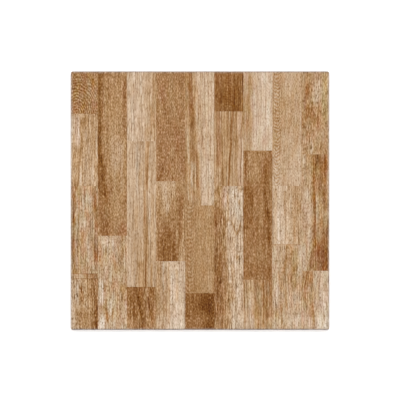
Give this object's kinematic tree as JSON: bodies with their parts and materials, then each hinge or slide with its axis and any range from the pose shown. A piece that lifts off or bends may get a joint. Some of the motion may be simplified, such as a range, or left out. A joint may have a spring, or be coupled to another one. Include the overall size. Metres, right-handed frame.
{
  "type": "ceramic floor tile",
  "caption": "Square glazed ceramic floor tile with a printed wood-strip parquet pattern, rounded face edges and a pressed back with keying ribs.",
  "frame": {"origin": "middle of the back, in the plane of its rim and keying ribs, on which the tile lies", "axes": "+Z out of the glazed face, +Y along the printed wood strips, +X across them"},
  "size_m": [0.45, 0.45, 0.008],
  "materials": {
    "glazed_body": "satin glaze over a printed wood-strip pattern, bare fired clay on the back"
  },
  "bodies": {
    "root": {"tile": "glazed_body"}
  },
  "joints": []
}
